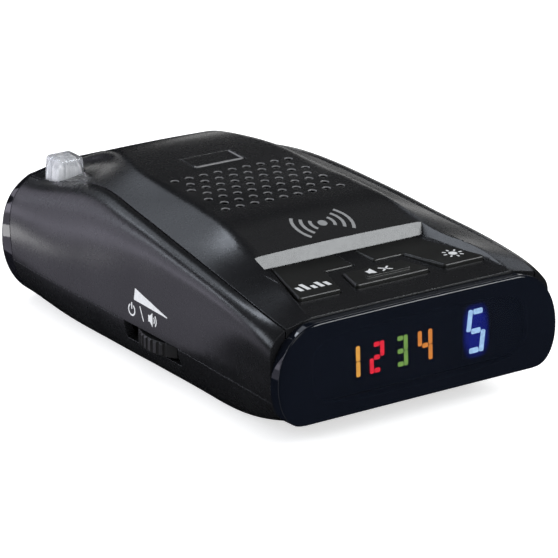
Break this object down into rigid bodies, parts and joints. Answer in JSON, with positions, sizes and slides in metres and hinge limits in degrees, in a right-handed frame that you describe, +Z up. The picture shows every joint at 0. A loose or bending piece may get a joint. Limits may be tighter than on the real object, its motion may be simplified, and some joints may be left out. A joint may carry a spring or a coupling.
{
  "type": "radar detector",
  "caption": "Dashboard radar detector with a smoked front display, top keys, speaker grille, thumbwheel volume, bracket release tab and a clear rear sensor lens.",
  "frame": {"origin": "under the middle of the unit, on the surface it rests on", "axes": "+Z up; the display faces -Y towards the driver; the radar window faces +Y towards the road; +X is the driver's right"},
  "size_m": [0.0706, 0.1152, 0.0369],
  "materials": {
    "satin_black": "satin",
    "smoked": "gloss",
    "gloss_black": "gloss",
    "mask_black": "matte",
    "clear": "clear",
    "key_black": "satin",
    "cyan_light": "lit",
    "dark_segment": "unlit",
    "band_light": "lit",
    "module_black": "matte",
    "board_green": "solder mask",
    "chip": "matte",
    "led_chip": "gloss",
    "header": "matte",
    "switch": "matte",
    "plunger": "matte",
    "wheel_black": "matte",
    "steel": "plated",
    "zinc": "die cast",
    "tin": "tinned",
    "cone": "paper cone",
    "foam": "foam",
    "wire": "insulation",
    "ribbon": "film",
    "capacitor": "sleeved",
    "label": "blank plate",
    "sensor": "gloss"
  },
  "bodies": {
    "case": {"top_cover": "satin_black", "upper_shell": "satin_black", "bottom_case": "satin_black", "display_window": "smoked", "display_mask": "mask_black", "digit_module": "module_black", "digit_lit": "cyan_light", "digit_dark": "dark_segment", "band_lights": "band_light", "display_board": "board_green", "band_leds": "led_chip", "display_header": "header", "radar_window": "gloss_black", "tact_switches": "switch", "key_board": "board_green", "key_header": "header", "volume_pot": "switch", "bracket_guide": "satin_black", "speaker_frame": "steel", "speaker_cone": "cone", "speaker_magnet": "steel", "speaker_gasket": "foam", "speaker_wires": "wire", "horn_lower": "zinc", "horn_upper": "zinc", "horn_screws": "steel", "rf_board": "board_green", "rf_shield": "tin", "rf_ribbon": "ribbon", "laser_sensor": "sensor", "sensor_lens": "clear", "sensor_board": "board_green", "main_board": "board_green", "microcontroller": "chip", "capacitors": "capacitor", "power_jack": "header", "case_screws": "steel", "board_screws": "steel", "rating_plate": "label"},
    "left_button": {"left_key": "key_black", "left_plunger": "plunger"},
    "center_button": {"center_key": "key_black", "center_plunger": "plunger"},
    "right_button": {"right_key": "key_black", "right_plunger": "plunger"},
    "wheel": {"volume_wheel": "wheel_black"},
    "tab": {"release_tab": "satin_black"}
  },
  "joints": [
    {"name": "left_press", "type": "slide", "parent": "case", "child": "left_button", "axis": [0, 0, -1], "range_m": [0, 0.0005], "stiffness_N_per_m": 2400, "springref_m": -0.0004},
    {"name": "center_press", "type": "slide", "parent": "case", "child": "center_button", "axis": [0, 0, -1], "range_m": [0, 0.0005], "stiffness_N_per_m": 2400, "springref_m": -0.0004},
    {"name": "right_press", "type": "slide", "parent": "case", "child": "right_button", "axis": [0, 0, -1], "range_m": [0, 0.0005], "stiffness_N_per_m": 2400, "springref_m": -0.0004},
    {"name": "volume_turn", "type": "hinge", "parent": "case", "child": "wheel", "pos_m": [-0.0223, -0.0055, 0.009], "axis": [0, 0, 1], "range_deg": [-60, 220]},
    {"name": "release_press", "type": "hinge", "parent": "case", "child": "tab", "pos_m": [0, 0.03, 0.0332], "axis": [1, 0, 0], "range_deg": [0, 7], "stiffness_Nm_per_rad": 0.08, "springref_deg": -3.44}
  ]
}
